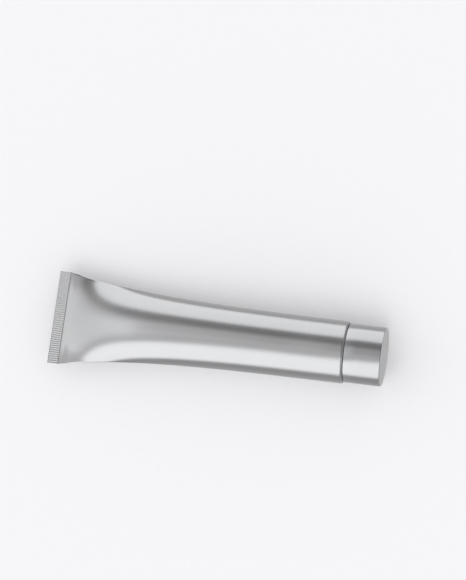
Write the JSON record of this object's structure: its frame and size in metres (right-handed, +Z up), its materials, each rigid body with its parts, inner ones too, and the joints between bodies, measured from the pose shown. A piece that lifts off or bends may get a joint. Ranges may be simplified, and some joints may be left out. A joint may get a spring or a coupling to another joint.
{
  "type": "shaving cream tube",
  "caption": "Satin metallic laminate squeeze tube, flaring from a round barrel to a flat heat seal, with a full-width screw cap over a threaded neck.",
  "frame": {"origin": "on the table, under the middle of the tube's length, with the tube lying on its belly", "axes": "+X along the tube towards the cap, +Y across the flat seal, +Z up from the table, square to the seal"},
  "size_m": [0.1924, 0.0532, 0.0349],
  "materials": {
    "satin_metal_film": "satin metallised film",
    "bare_foil": "bright foil",
    "natural_plastic": "milky",
    "silver_plastic": "silver-grey, moulded",
    "cream": "soft white cream",
    "white_plastic": "matt",
    "anodised_shell": "satin anodised"
  },
  "bodies": {
    "tube": {"outer_film": "satin_metal_film", "barrier_foil": "bare_foil", "inner_film": "natural_plastic", "shaving_cream": "cream", "shoulder": "silver_plastic", "barrier_cone": "bare_foil", "seal_foil": "bare_foil"},
    "rising_liner": {"cap_liner": "white_plastic"},
    "cap": {"cap_core": "white_plastic", "cap_shell": "anodised_shell"}
  },
  "joints": [
    {"name": "cap_rise", "type": "slide", "parent": "tube", "child": "rising_liner", "axis": [1, 0, 0], "range_m": [0, 0.0175]},
    {"name": "cap_turn", "type": "hinge", "parent": "rising_liner", "child": "cap", "pos_m": [0.09, 0, 0.0175], "axis": [1, 0, 0], "range_deg": [0, 1800]}
  ],
  "couplings": [
    {"joint": "cap_rise", "follows": "cap_turn", "m_per_rad": 0.00055704}
  ]
}
